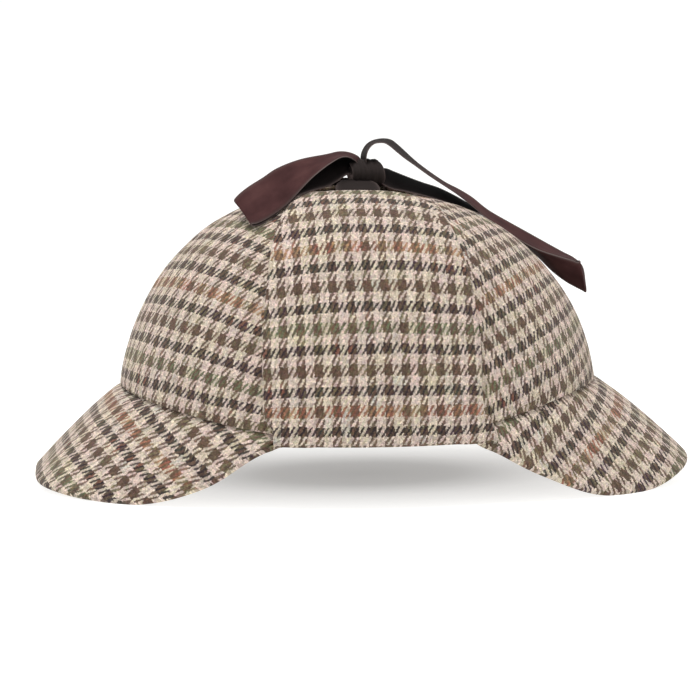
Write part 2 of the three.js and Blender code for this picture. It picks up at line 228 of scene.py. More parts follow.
def turned(name, outline, material, steps=96):
    """A body made by turning an outline of (radius, height), in metres, round the upright axis."""
    turns = np.linspace(0, 2 * math.pi, steps, endpoint=False)
    verts = [(r * math.cos(a), r * math.sin(a), z) for r, z in outline for a in turns]
    faces = []
    for k in range(len(outline) - 1):
        for n in range(steps):
            after = (n + 1) % steps
            faces.append((k * steps + n, k * steps + after, (k + 1) * steps + after, (k + 1) * steps + n))
    mesh = bpy.data.meshes.new(name)
    mesh.from_pydata(verts, [], faces)
    mesh.polygons.foreach_set("use_smooth", [True] * len(faces))
    mesh.materials.append(material)
    body = bpy.data.objects.new(name, mesh)
    bpy.context.collection.objects.link(body)
    return body


FLOOR_RADIUS, COVE_RADIUS, WALL_TOP = 2.4, 1.2, 2.6
HUB, INNER_RING = 0.00001, 0.5  # the floor starts at a hole too small to see
bend = np.linspace(0, math.pi / 2, 13)
cove = [(FLOOR_RADIUS + COVE_RADIUS * math.sin(a), COVE_RADIUS * (1 - math.cos(a))) for a in bend]
floor = [(HUB, 0), (INNER_RING, 0), (FLOOR_RADIUS, 0)]
turned("paper_floor", floor, paper("table paper with painted shadow", FLOOR_GREY, TABLE_GLOW_WITH_PAINTED_SHADOW))
wall = cove + [(FLOOR_RADIUS + COVE_RADIUS, WALL_TOP)]
turned("paper_wall", wall, paper("backdrop paper", WALL_GREY, WALL_GLOW))

world = bpy.data.worlds.new("studio")
world.use_nodes = True
world.node_tree.nodes["Background"].inputs["Color"].default_value = (1.0, 1.0, 0.99, 1)
world.node_tree.nodes["Background"].inputs["Strength"].default_value = 0.6
bpy.context.scene.world = world


LAMP_AIM = np.array([0, 0, 0.06])


def lamp(name, position, size, power):
    data = bpy.data.lights.new(name, "AREA")
    data.shape = "DISK"
    data.size = size
    data.energy = power
    away = np.array(position) - LAMP_AIM
    away = away / np.linalg.norm(away)
    side = np.cross([0, 1, 0], away)
    side = side / np.linalg.norm(side)
    put(bpy.data.objects.new(name, data), (side, np.cross(away, side), away), position)


lamp("broad lamp above", position=(-0.2, -0.2, 1.75), size=0.7, power=25)
bpy.context.scene.view_settings.view_transform = "Standard"  # plain display, so that white paper stays white

# %% [markdown]
# ## The tweed
# The cloth is a two-and-two twill: each thread passes over two and under two, one step on in every row. The
# fine threads along the piece come six dyed and six cream. The thicker ones across it make the stripes:
# four dark ones, some cream, a few of a softer colour, and cream again. The softer colour changes from rust
# to brown, green and brown again. Where the two meet, the twill's slanting floats draw the toothed check,
# so the check is not painted: the shader only works out which thread is on top. It could be an image, but
# then it would have one sharpness and one repeat. The yarn is spun from mixed fibres, so its colour drifts
# along its length, and each float has a tone of its own. Each yarn is also painted darker towards its
# edges, as painted shade between the yarns.

# %% Yarn colours
CREAM = (0.71, 0.59, 0.50)
CREAM_YELLOW = (0.70, 0.60, 0.44)
CREAM_PINK = (0.72, 0.55, 0.48)
CREAM_GREY = (0.60, 0.56, 0.49)
DARK = (0.031, 0.020, 0.021)
DARK_GREEN = (0.036, 0.037, 0.031)
DARK_PURPLE = (0.047, 0.025, 0.041)
BROWN = (0.150, 0.088, 0.058)
DEEP_BROWN = (0.100, 0.062, 0.045)
RUST = (0.31, 0.110, 0.072)
TAN = (0.39, 0.235, 0.130)
GREEN = (0.150, 0.165, 0.090)
OLIVE = (0.170, 0.135, 0.075)

# %% Tweed
PICKS_PER_STRIPE = 16.0  # from one dark stripe to the next
THREADS_PER_CHECK = 12.0
THREAD, PICK = 7.1 / THREADS_PER_CHECK, 17.6 / PICKS_PER_STRIPE  # spacing, mm
TWILL = 4.0  # over two, under two
DYED_THREADS, DYED_SHIFT = 6.0, 3.0  # of each check
BAND = 4.0  # the picks of the dark stripe, and of each stretch whose colours drift together
SOFT_MIDDLE, SOFT_HALF = 10.0, 2.3  # of the softer stripe, in picks
SOFT_STRIPES = 4.0  # before the softer colours repeat
SLANT, FLOAT_HALF = 0.8, 1.1  # how far a float leans over one thread's width, and half its length, in picks
WANDER, FRAY = (2.6, 1.6), (2.7, 2.1)  # how far the yarns stray, slowly and finely, in threads and picks
WARP_NUMBERS = 900.0  # the threads are numbered from here, apart from the picks


def tweed_material(name):
    plain = {"Specular IOR Level": 0.2, "Sheen Weight": 0.15, "Sheen Roughness": 0.5,
             "Sheen Tint": (0.9, 0.82, 0.74, 1)}
    material, w, shader = new_material(name, plain)
    at = w.node("UVMap", {"uv_map": "cloth"})
    mm = at.node("VectorMath", {"operation": "MULTIPLY"}, {0: at, 1: (THREAD, PICK, 1.0)})
    u, v, _ = at.parts()
    wander_u, wander_v, _ = mm.noise(0.10, 1.0, out=1).parts()
    fray_u, fray_v, _ = mm.noise(1.3, 2.0, 0.6, out=1).parts()
    u = u + (wander_u - 0.5) * WANDER[0] + (fray_u - 0.5) * FRAY[0]
    v = v + (wander_v - 0.5) * WANDER[1] + (fray_v - 0.5) * FRAY[1]

    thread, pick = u.whole(), v.whole()
    along_float = (v - thread - (u % 1.0) * SLANT + (TWILL + SLANT) / 2) % TWILL - TWILL / 2
    on_top = abs(along_float) < FLOAT_HALF

    # Each column and band is read far from the last one in the noise, so its colours drift on their own.
    column = (thread / THREADS_PER_CHECK).whole()
    warp_drift = (column * 3.37).vector(v * 0.07, 2.0).noise(1.0, 2.0)
    dyed = warp_drift.ramp([(0.28, RUST), (0.38, BROWN), (0.46, DEEP_BROWN), (0.54, BROWN), (0.62, OLIVE),
                            (0.72, DEEP_BROWN)])
    cream_drift = (column * 5.1).vector(v * 0.06, 7.0).noise(1.0, 2.0)
    cream = cream_drift.ramp([(0.32, CREAM_PINK), (0.48, CREAM), (0.6, CREAM_YELLOW), (0.72, CREAM_GREY)])
    is_dyed = (thread + DYED_SHIFT) % THREADS_PER_CHECK < DYED_THREADS - 0.5
    warp = is_dyed.choose(cream, dyed)

    band = (pick / BAND).whole()
    weft_drift = (band * 4.73).vector(u * 0.055, 4.0).noise(1.0, 2.0)
    dark = weft_drift.ramp([(0.34, DARK_PURPLE), (0.48, DARK), (0.64, DARK_GREEN)])
    rust = weft_drift.ramp([(0.36, BROWN), (0.44, RUST), (0.54, TAN), (0.64, OLIVE)])
    brown = weft_drift.ramp([(0.36, BROWN), (0.5, DEEP_BROWN), (0.64, OLIVE)])
    green = weft_drift.ramp([(0.34, OLIVE), (0.5, GREEN), (0.66, DEEP_BROWN)])
    bright = weft_drift.ramp([(0.32, CREAM_YELLOW), (0.46, CREAM), (0.58, CREAM_PINK), (0.7, CREAM_GREY)])
    stripe = (pick / PICKS_PER_STRIPE).whole() % SOFT_STRIPES
    soft = (stripe < 0.5).choose((stripe < 1.5).choose((stripe < 2.5).choose(brown, green), brown), rust)
    in_stripe = v % PICKS_PER_STRIPE
    light = (abs(in_stripe - SOFT_MIDDLE) < SOFT_HALF).choose(bright, soft)
    weft = (in_stripe < BAND).choose(light, dark)
    yarn = (0.06 + on_top * 0.85).choose(weft, warp)

    # Each yarn is painted darker at its edges, as shade between yarns, streaked by its fibres, and varied
    # per float.
    swell = on_top.between(((v % 1.0) * math.pi).wave(), ((u % 1.0) * math.pi).wave())
    fibres = mm.noise(1.7, 4.0, 0.75)
    clumps = mm.noise(0.8, 2.0, 0.6)
    float_end = on_top.between(((u - pick) / TWILL).whole() + 0.5, ((v - thread) / TWILL).whole() + 0.5)
    yarn_number = on_top.between(pick + 0.5, thread + (WARP_NUMBERS + 0.5))
    spot = yarn_number.vector(float_end, 0.5)
    fleck = spot.node("TexWhiteNoise", None, {"Vector": spot})
    # the first factor is the painted shade at each yarn's edges
    tone_with_painted_shade = (0.80 + swell * 0.20) * (fibres * 2.2 - 0.30) * (0.62 + clumps * 0.76) * (0.71 + fleck * 0.58)
    stained = yarn.blended("SOFT_LIGHT", mm.noise(0.7, 3.0, out=1), 0.35)
    connect(stained.blended("MULTIPLY", tone_with_painted_shade.grey()), shader, "Base Color")
    height = swell * 0.7 + fibres * 0.8
    relief = {"Strength": 0.6, "Distance": 0.0004, "Height": height}
    connect(height.node("Bump", None, relief), shader, "Normal")
    connect(0.98 - swell * 0.12, shader, "Roughness")
    return material


tweed = tweed_material("houndstooth tweed")
print("tweed nodes:", len(tweed.node_tree.nodes))

# %% [markdown]
# ## The ribbon
# A narrow satin ribbon, dark brown, with hardly any shine in this soft light. Its woven edges are painted a
# little lighter, as a painted highlight, and its inner side is painted darker, as painted shade inside the
# loops, and dull, as the back of satin is. The knot, its band and the ties are painted a darker grey, as
# painted shade, and so is the front loop where it comes out of the knot edge on, with a painted sheen. The
# fine ribs across it come from a wave along its length.

# %% Satin ribbon
RIBBON_WIDTH = 19.0
RIB = 0.42  # between ribs, mm
# the front loop is painted the darker grey shade near the knot, fading out by this far
PAINTED_SHADE_FOR = 62.0  # the front loop leaves the knot edge on and looks greyer for this far, mm
INNER_SIDE = 100.0  # added to the place across the ribbon on its duller inner side
SATIN_BROWNS = [(0.3, (0.038, 0.017, 0.017)), (0.5, (0.052, 0.023, 0.023)), (0.7, (0.068, 0.031, 0.030))]
# a darker grey painted as shade on the knot, its band, the ties and the front loop near the knot
SATIN_PAINTED_SHADE_GREY = (0.025, 0.020, 0.019)
# the inner side's colour, painted darker than the face as shade inside the loops, and dull as satin's back
# is
SATIN_INSIDE_WITH_PAINTED_SHADE = (0.015, 0.012, 0.012)
# the lighter colour at the edges, a painted highlight
SATIN_PAINTED_EDGE_HIGHLIGHT = (0.13, 0.10, 0.095)
EDGE_POWER = 14.0  # keeps the lighter edge narrow


def ribbon_material():
    material, w, shader = new_material("brown satin ribbon", {"Specular IOR Level": 0.012})
    at = w.node("UVMap", {"uv_map": "cloth"})
    along, across, _ = at.parts()
    # the inner side, numbered apart across, takes a colour painted darker as shade inside the loops
    inside = across > INNER_SIDE / 2
    across = across - inside * INNER_SIDE
    ribs = (along * (2 * math.pi / RIB)).wave() * 0.5 + 0.5
    drift = (along * 0.08).vector(across * 0.11).noise(1.0, 3.0)
    # near the start of its length the face is painted a darker grey, as shade, fading to the browns by about
    # 62 mm
    out_of_painted_shade = (along * (1.0 / PAINTED_SHADE_FOR)).ramp([(0.45, (0, 0, 0)), (1.0, (1, 1, 1))])
    face = inside.choose(out_of_painted_shade.choose(SATIN_PAINTED_SHADE_GREY, drift.ramp(SATIN_BROWNS)), SATIN_INSIDE_WITH_PAINTED_SHADE)
    # towards both edges a lighter colour is mixed in as a painted highlight, and the edges are made rougher
    edge = (abs(across) * (2.0 / RIBBON_WIDTH)) ** EDGE_POWER
    connect((edge * 0.6).choose(face, SATIN_PAINTED_EDGE_HIGHLIGHT), shader, "Base Color")
    connect(0.56 + drift * 0.16 + edge * 0.15, shader, "Roughness")
    height = ribs * 0.5 + drift * 0.4
    relief = {"Strength": 0.25, "Distance": 0.0001, "Height": height}
    connect(height.node("Bump", None, relief), shader, "Normal")
    return material


satin = ribbon_material()
print("ribbon nodes:", len(satin.node_tree.nodes))

# %% [markdown]
# ## Cloth from grids
# A piece of cloth has a face, a back and a thin edge. Blender could thicken a single surface with a
# modifier, but a hat's pieces need edges that are rounded, as turned cloth is, and a place for every
# thread. So each piece is two grids of points, sewn together round the rim, with a map that says which
# thread passes through each point.

# %% A closed piece of cloth
FABRICS = {"tweed": tweed, "ribbon": satin}


def cloth_piece(name, points, faces, threads, fabric, node):
    """A body that takes a node's place. Threads says which one passes through each point."""
    mesh = bpy.data.meshes.new(name)
    mesh.from_pydata((points * MM).tolist(), [], faces)
    mesh.polygons.foreach_set("use_smooth", [True] * len(faces))
    corners = [corner for face in faces for corner in face]
    layer = mesh.uv_layers.new(name="cloth")
    layer.data.foreach_set("uv", threads[corners].astype(np.float32).ravel())
    mesh.materials.append(FABRICS[fabric])
    piece = bpy.data.objects.new(name, mesh)
    bpy.context.collection.objects.link(piece)
    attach(piece, "root")
    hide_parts(node)
    print(f"{name}: {len(faces)} faces")
    return piece


def closed_sheet(name, face, back, threads, fabric, node, behind=0.0):
    """Two grids of points sewn together round the rim. The back's map is moved across by behind."""
    rows, columns = face.shape[:2]
    count = rows * columns
    index = np.arange(count).reshape(rows, columns)
    quads = np.stack([index[:-1, :-1], index[1:, :-1], index[1:, 1:], index[:-1, 1:]], -1).reshape(-1, 4)
    rim = np.concatenate([index[0, :-1], index[:-1, -1], index[-1, :0:-1], index[:0:-1, 0]])
    ahead = np.roll(rim, -1)
    walls = np.stack([rim, ahead, ahead + count, rim + count], -1)
    faces = np.concatenate([quads, quads[:, ::-1] + count, walls])
    points = np.concatenate([face.reshape(-1, 3), back.reshape(-1, 3)])
    a, b, c, d = [points[faces[:, k]] for k in range(4)]
    volume = (np.cross(c - a, d - b) * (a + b + c + d)).sum()
    faces = faces if volume > 0 else faces[:, ::-1]
    flat = np.concatenate([threads.reshape(-1, 2), threads.reshape(-1, 2) + (0, behind)])
    return cloth_piece(name, points, faces.tolist(), flat, fabric, node)


# %% Small helpers on arrays
EASE_WAVES = [  # radians for each mm along x, y and z, and where the wave starts
    ((0.071, 0.043, 0.087), 0.4), ((-0.058, 0.094, 0.065), 2.1),
    ((0.118, -0.082, -0.103), 4.0), ((0.171, 0.149, 0.158), 1.3),
]
EVEN_PART = (0.045, 0.955)  # between these shares the columns of a piece are evenly spaced
FIRM_SEAM, FIRM_EDGE = 6.0, 8.0  # the soft waves fade out this near a seam or an edge, mm


def mix(a, b, t):
    return a + (b - a) * t


def smooth(t):
    t = np.clip(t, 0, 1)
    return t * t * (3 - 2 * t)


def unit(vectors):
    return vectors / np.maximum(np.linalg.norm(vectors, axis=-1, keepdims=True), 1e-9)


def cloth_ease(points, height):
    """Soft waves a few centimetres long, as steamed wool has, in millimetres."""
    waves = [np.sin(points @ np.array(wave) + start) for wave, start in EASE_WAVES]
    return height * sum(waves) / len(waves)


def round_edge(distance, radius):
    """How thick the cloth is this far from its edge, from 0 at the edge to 1."""
    return np.sqrt(1 - (1 - np.clip(distance / radius, 0.02, 1)) ** 2)


def dense_ends(count, ends=(0.0015, 0.006, 0.014, 0.028)):
    """Shares from 0 to 1 that crowd together at both ends, where an edge is rounded."""
    near = np.concatenate([[0], ends])
    return np.concatenate([near, np.linspace(*EVEN_PART, count), 1 - near[::-1]])


def curve_between(t, start, leaving, end, arriving):
    """A smooth curve from start to end, at share t, by the way it leaves one and arrives at the other."""
    return ((2 * t**3 - 3 * t**2 + 1) * start + (t**3 - 2 * t**2 + t) * leaving
            + (-2 * t**3 + 3 * t**2) * end + (t**3 - t**2) * arriving)


def run_on(points):
    """The points with one more at each end, straight on."""
    return np.concatenate([[2 * points[0] - points[1]], points, [2 * points[-1] - points[-2]]])


def spline(points, per_segment):
    """A smooth line through the points, which may be an array of lines side by side."""
    padded = run_on(np.asarray(points, float))
    made = []
    for k in range(len(points) - 1):
        p0, p1, p2, p3 = padded[k:k + 4]
        d0, d1, d2 = [np.maximum(np.linalg.norm(b - a, axis=-1, keepdims=True), 1e-6) ** 0.5
                      for a, b in ((p0, p1), (p1, p2), (p2, p3))]
        m1 = ((p1 - p0) / d0 - (p2 - p0) / (d0 + d1) + (p2 - p1) / d1) * d1
        m2 = ((p2 - p1) / d1 - (p3 - p1) / (d1 + d2) + (p3 - p2) / d2) * d1
        last = k == len(points) - 2
        for t in np.linspace(0, 1, per_segment + 1)[:None if last else -1]:
            made.append(curve_between(t, p1, m1, p2, m2))
    return np.array(made)


# %% [markdown]
# ## The crown's shape
# Seen from above the sewn edge of the crown is an oval. From the side it rises over each brim and dips over
# the ears. Every line from that edge to the top bends alike, so one formula gives the whole dome: a turn
# round the head, and a share of the way out from the top.

# %% Crown surface
CROWN_LENGTH, CROWN_WIDTH = 103.0, 85.0
CROWN_X, APEX_X, APEX_Z = -1.4, -6.9, 123.2
WALL = 2.0
ROUNDNESS, STEEPNESS = 0.745, 1.286
CROWN_ROUNDS = 12  # to find how far out from the top a point seen from above is
HEM_Z = 27.5
HEM_RISE = {"front": 15.3, "back": 13.7}
HEM_SHOULDER = {"front": 14.4, "back": 4.0}


def hem_z(turn):
    c2 = np.cos(turn) ** 2
    front = 0.5 * (1 + np.tanh(4 * np.cos(turn)))
    rise = mix(HEM_RISE["back"], HEM_RISE["front"], front)
    shoulder = mix(HEM_SHOULDER["back"], HEM_SHOULDER["front"], front)
    return HEM_Z + rise * c2 + shoulder * c2 * (1 - c2)


def crown_point(turn, share, inset=0.0, dip=0.0):
    climb = np.arccos(np.clip(share, 0, 1) ** (1 / ROUNDNESS))
    foot = hem_z(turn)
    x = mix(APEX_X, CROWN_X, share) + (CROWN_LENGTH - inset - dip) * np.cos(turn) * share
    y = (CROWN_WIDTH - inset - dip) * np.sin(turn) * share
    return np.stack([x, y, foot + (APEX_Z - inset - foot) * np.sin(climb) ** STEEPNESS], -1)


def crown_z(x, y, grow=0.0):
    share = np.ones_like(x)
    for _ in range(CROWN_ROUNDS):
        across_x = (x - mix(APEX_X, CROWN_X, share)) / (CROWN_LENGTH + grow)
        across_y = y / (CROWN_WIDTH + grow)
        share = np.minimum(np.hypot(across_x, across_y), 1)
    return crown_point(np.arctan2(across_y, across_x), share, -grow)[..., 2]


def crown_normal(x, y, step=0.05):
    slope_x = (crown_z(x + step, y) - crown_z(x - step, y)) / (2 * step)
    slope_y = (crown_z(x, y + step) - crown_z(x, y - step)) / (2 * step)
    up = np.stack([-slope_x, -slope_y, np.ones_like(x)], -1)
    out = np.stack([(x - CROWN_X) / CROWN_LENGTH**2, y / CROWN_WIDTH**2, np.zeros_like(x)], -1)
    upright = np.hypot((x - CROWN_X) / CROWN_LENGTH, y / CROWN_WIDTH) > 0.995
    normal = np.where(upright[..., None], out, up)
    return normal / np.linalg.norm(normal, axis=-1, keepdims=True)


print("hem height at the side, front and back, mm:", np.round(hem_z(np.radians([90, 0, 180])), 1).tolist())

# %% [markdown]
# ## Laying cloth on a curved shape
# A tailor chalks a grain line up the middle of each piece and keeps the threads square to it. On a dome the
# crossing threads then droop towards the piece's sides, which is what makes the check look sewn rather than
# printed. Unwrapping tools would spread the stretch about evenly and lose that. Here each point is measured
# along the grain line first. Then its distance to the side is the length of a gentle arc that sinks away
# from the line.

# %% Measure cloth along its grain
RUN_ON = 60.0  # the grain line goes on this far below the hem, mm
POINTS_AT_ONCE = 2000


def along_grain(points, origin, inward, up_wall, curve):
    """How far up the grain line each point lies, and how far beside it, seen along the hem."""
    curve = np.vstack([curve[0] - (0, RUN_ON), curve])
    lengths = np.linalg.norm(np.diff(curve, axis=0), axis=1)
    reached = np.concatenate([[0], np.cumsum(lengths)]) - RUN_ON
    flat = np.stack([(points - origin) @ inward, (points - origin) @ up_wall], -1).reshape(-1, 2)
    steps = curve[1:] - curve[:-1]
    up, sag = [], []
    for part in np.array_split(flat, max(1, len(flat) // POINTS_AT_ONCE)):
        share = ((part[:, None] - curve[None, :-1]) * steps[None]).sum(-1) / (lengths**2)[None]
        share = np.clip(share, 0, 1)
        gap = (((curve[None, :-1] + steps[None] * share[..., None]) - part[:, None]) ** 2).sum(-1)
        k = gap.argmin(1)
        each = np.arange(len(part))
        up.append(reached[k] + share[each, k] * lengths[k])
        sag.append(np.sqrt(gap[each, k]))
    return [np.concatenate(values).reshape(points.shape[:-1]) for values in (up, sag)]


def arc_length(sideways, sag):
    """The length of an arc that goes this far sideways while it sinks by sag."""
    slope = np.maximum(2 * sag / np.maximum(np.abs(sideways), 1), 1e-4)
    return sideways * (np.sqrt(1 + slope**2) + np.arcsinh(slope) / slope) / 2


def threads_of(sideways, up, lay):
    """Turns millimetres of cloth into threads and picks, by where one dark stripe lies on the piece."""
    past = up - lay["dark_at"]
    stripes = lay["stripe"] + past * (1 - lay.get("ease", 0.0) * past) / lay["spacing"]
    return np.stack([(sideways - lay.get("shift", 0.0)) / THREAD, stripes * PICKS_PER_STRIPE + 2], -1)


# %% [markdown]
# ## The gores
# Each gore is a leaf of cloth with its point at the top. On the dome two gores meet in a shallow valley,
# because their edges are turned in and sewn. The grain of the front and back gores is chalked square to the
# hem, which slopes there, so their stripes run down towards the ears.

# %% Gores
SEAM_DIP, SEAM_SHARPNESS = 1.1, 14
SEAM_MEET = -0.05  # each edge passes the seam by this much, so that no light shows between two gores
EYE_RADIUS = 1.5
GORE_HEIGHT = 105.0  # from the hem to the top, along the cloth
TURNED_EDGE = 1.0  # radius of the rounding at a gore's edges
GORE_EASE = 0.35
GRAIN_REACH, GRAIN_STEPS, GRAIN_ROUNDS = 120.0, 160, 30
GORES = [  # of the left half, with turns and grain in degrees round from the front
    dict(name="front", turns=(0, 67), grain=45.5, lean=18, dark_at=10.7, stripe=2, spacing=16.1),
    dict(name="side", turns=(67, 113), grain=90, lean=0, dark_at=8.0, stripe=1, spacing=17.5),
    dict(name="back", turns=(113, 180), grain=146.5, lean=-4, dark_at=8.3, stripe=2, spacing=17.5),
]


def mirrored(gore):
    first, last = gore["turns"]
    return dict(gore, turns=(360 - last, 360 - first), grain=360 - gore["grain"], lean=-gore["lean"])


def grain_on_crown(heading, lean):
    """The grain line of a gore: where it starts on the hem, its directions, and its bend over the dome."""
    heading, lean = math.radians(heading), math.radians(lean)
    inward = -np.array([math.cos(heading), math.sin(heading), 0])
    sideways = np.array([-math.sin(heading), math.cos(heading), 0])
    up_wall = math.cos(lean) * np.array([0, 0, 1.0]) + math.sin(lean) * sideways
    square = math.cos(lean) * sideways - math.sin(lean) * np.array([0, 0, 1.0])
    origin = crown_point(np.array(heading), np.array(1.0))
    reach = np.concatenate([[0], np.linspace(0.02, 1, GRAIN_STEPS) ** 2 * GRAIN_REACH])
    shift = np.zeros_like(reach)
    for _ in range(GRAIN_ROUNDS):
        x, y = [origin[k] + reach * inward[k] + shift * sideways[k] for k in (0, 1)]
        height = crown_z(x, y)
        shift = 0.5 * shift + 0.5 * math.tan(lean) * (height - origin[2])
    line = np.stack([x, y, height], -1)
    line[0] = origin
    curve = np.stack([(line - origin) @ inward, (line - origin) @ up_wall], -1)
    return origin, inward, up_wall, square, curve


def make_gore(gore, half):
    across = dense_ends(56)
    highest = math.acos((EYE_RADIUS / CROWN_LENGTH) ** (1 / ROUNDNESS))
    climbs = np.concatenate([[0, 0.002, 0.006, 0.012], np.linspace(0.022, 1, 80)]) * highest
    across, climb = np.meshgrid(across, climbs)
    share = np.cos(climb) ** ROUNDNESS
    turn = np.radians(mix(*gore["turns"], across))
    radius = share * np.hypot(CROWN_LENGTH * np.cos(turn), CROWN_WIDTH * np.sin(turn))
    turn = turn + SEAM_MEET / radius * (1 - 2 * across)
    dip = SEAM_DIP * np.abs(2 * across - 1) ** SEAM_SHARPNESS * (1 - share**4)
    width = np.radians(gore["turns"][1] - gore["turns"][0]) * radius
    to_seam = np.minimum(across, 1 - across) * width
    to_hem = climb / highest * GORE_HEIGHT
    thick = np.minimum(round_edge(to_seam, TURNED_EDGE), round_edge(to_hem, TURNED_EDGE)) * WALL / 2
    ease = cloth_ease(crown_point(turn, share), GORE_EASE) * smooth(to_seam / FIRM_SEAM)
    ease = ease * smooth(to_hem / FIRM_EDGE)
    face = crown_point(turn, share, WALL / 2 - thick - ease, dip)
    back = crown_point(turn, share, WALL / 2 + thick - ease, dip)
    origin, inward, up_wall, square, curve = grain_on_crown(gore["grain"], gore["lean"])
    up, sag = along_grain(face, origin, inward, up_wall, curve)
    threads = threads_of(arc_length((face - origin) @ square, sag), up, gore)
    place = gore["name"] + "_" + half
    return closed_sheet(f"tweed_{place}_gore", face, back, threads, "tweed", "crown_gore_" + place)


gores = [make_gore(gore, "left") for gore in GORES]
gores += [make_gore(mirrored(gore), "right") for gore in GORES[::-1]]

# %% [markdown]
# ## The brims
# Two layers of tweed over a stiff sheet, turned in and closed at the edge. A brim is flat when it is cut
# and takes its curve from the hem it is sewn to, so its threads stay straight across the hat and only slide
# down its slope. Its inner edge is thinned and turned up inside the crown, as the seam allowance is, so
# that no light gets through the seam.

# %% Brims
BRIM_THICKNESS = 3.0
BRIM_ROOT_X, BRIM_X, BRIM_WIDTH = 42.6, -3.1, 80.2
BRIM_INSET, BRIM_DROP = 1.3, 0.75
BRIM_LENGTH_POWER, BRIM_WIDTH_POWER = 1.83, 0.59
BRIM_BOW, BRIM_LIFT = 1.2, 0.85
BRIM_EDGE = 1.5  # radius of the rounding at the outer edge
BRIM_EASE = 0.3
BRIM_HALF_EDGE = 90.0  # about half of a brim's edge is this long, mm
BRIM_THINNED, PUFF_REACH = 0.3, 4.5  # its share of thickness at the seam, and where it is whole, mm
TONGUE_INSET, TONGUE_CLIMB, TONGUE_HALF = 2.9, 0.10, 0.45  # the part turned up inside the crown
BRIMS = [  # edge is its height over the table, from the middle to one end
    dict(name="front", end=1, root_turn=math.radians(66), reach=101.3,
         edge=[7.5, 4.9, -0.3, 0.1, 9.9, 20.6, 25.4],
         down=(0.64, -0.77), dark_at=3.5, stripe=0, spacing=17.5),
    dict(name="back", end=-1, root_turn=math.radians(71), reach=95.1,
         edge=[1.7, 1.3, -0.2, -0.2, 7.1, 19.3, 25.4],
         down=(-0.67, -0.74), dark_at=-1.5, stripe=0, spacing=17.2),
]


def root_turns(brim, along):
    """How far round the crown the brim's seam is, from one end of it at -1 to the other at 1."""
    turn = along * brim["root_turn"]
    return turn if brim["end"] > 0 else math.pi - turn


def edge_height(brim, along):
    half = np.array(brim["edge"])
    heights = np.concatenate([half[:0:-1], half])
    padded = run_on(heights)
    at = (along + 1) / 2 * (len(heights) - 1)
    k = np.clip(np.floor(at).astype(int), 0, len(heights) - 2)
    p0, p1, p2, p3 = [padded[k + n] for n in range(4)]
    return curve_between(at - k, p1, (p2 - p0) / 2, p2, (p3 - p1) / 2)


def brim_surface(brim, along, across):
    end = brim["end"]
    turn = along * math.pi / 2
    root = crown_point(root_turns(brim, along), np.ones_like(along), BRIM_INSET)
    root[..., 2] -= BRIM_DROP
    width = BRIM_WIDTH * np.sign(turn) * np.abs(np.sin(turn)) ** BRIM_WIDTH_POWER
    length = BRIM_ROOT_X + brim["reach"] * np.abs(np.cos(turn)) ** BRIM_LENGTH_POWER
    edge = np.stack([BRIM_X + end * length, width, edge_height(brim, along) + BRIM_LIFT], -1)
    bow = BRIM_BOW * np.sin(math.pi * across) * np.cos(turn) * math.sqrt(0.5)
    return root + (edge - root) * across[..., None] + np.stack([end * bow, 0 * bow, bow], -1)


def make_brim(brim):
    alongs = mix(-1, 1, dense_ends(150, (0.0008, 0.003, 0.008, 0.018)))
    to_rim = [0.955, 0.975, 0.99, 0.9975, 1]
    acrosses = np.concatenate([[0, 0.012, 0.03], np.linspace(0.06, 0.93, 30), to_rim])
    along, across = np.meshgrid(alongs, acrosses)
    step = 1e-3
    brim_part = brim_surface(brim, along, across)
    before, after = np.maximum(along - step, -1), np.minimum(along + step, 1)
    side = brim_surface(brim, after, across) - brim_surface(brim, before, across)
    out = brim_surface(brim, along, across + step) - brim_surface(brim, along, across - step)
    normal = unit(np.cross(side, out))
    normal = normal * np.where(normal[..., 2:] < 0, -1, 1)
    depth = np.linalg.norm(brim_part[-1] - brim_part[0], axis=-1)
    to_edge = np.minimum((1 - across) * depth, np.minimum(along + 1, 1 - along) * BRIM_HALF_EDGE + 0.3)
    puffed = mix(BRIM_THINNED, 1, smooth(across * depth / PUFF_REACH))
    thick = BRIM_THICKNESS / 2 * round_edge(to_edge, BRIM_EDGE) * puffed
    ease = cloth_ease(brim_part, BRIM_EASE) * smooth(to_edge / FIRM_EDGE)
    ease = ease * smooth(across * depth / FIRM_SEAM)
    brim_part = brim_part + normal * ease[..., None]

    hem_turn = root_turns(brim, alongs)
    climb = np.linspace(1, 0.1, 4)[:, None] * TONGUE_CLIMB
    tongue = crown_point(hem_turn[None] + 0 * climb, np.cos(climb + 0 * hem_turn) ** ROUNDNESS, TONGUE_INSET)
    radial = np.stack([np.cos(hem_turn), np.sin(hem_turn), 0 * hem_turn], -1)
    middle = np.concatenate([tongue, brim_part])
    normal = np.concatenate([np.broadcast_to(radial, tongue.shape), normal])
    thick = np.concatenate([np.full(tongue.shape[:2], TONGUE_HALF), thick])[..., None]
    face, back = middle + normal * thick, middle - normal * thick
    for grid in (face, back):
        grid[..., 2] = np.maximum(grid[..., 2], 0)
    down = np.array([brim["down"][0], 0, brim["down"][1]])
    square = np.array([-down[2], 0, down[0]])
    centre = len(alongs) // 2
    origin = brim_part[0, centre]
    up, level = (face - origin) @ down, (face - origin) @ square
    order = np.argsort(up[:, centre])
    sag = np.abs(level - np.interp(up, up[order, centre], level[order, centre]))
    threads = threads_of(arc_length(-brim["end"] * face[..., 1], sag), up, brim)
    return closed_sheet(f"tweed_{brim['name']}_brim", face, back, threads, "tweed", "brim_" + brim["name"])


brims = [make_brim(brim) for brim in BRIMS]

# %% [markdown]
# ## The ear flaps
# Each flap is sewn in under the hem, folded up, and pulled smooth over the crown by its tie. It is double
# cloth, so its outline stands a little proud, softly rounded, and pressed down onto the gores. Its fold
# hangs level, and at both ends it laps over the ends of the brims.

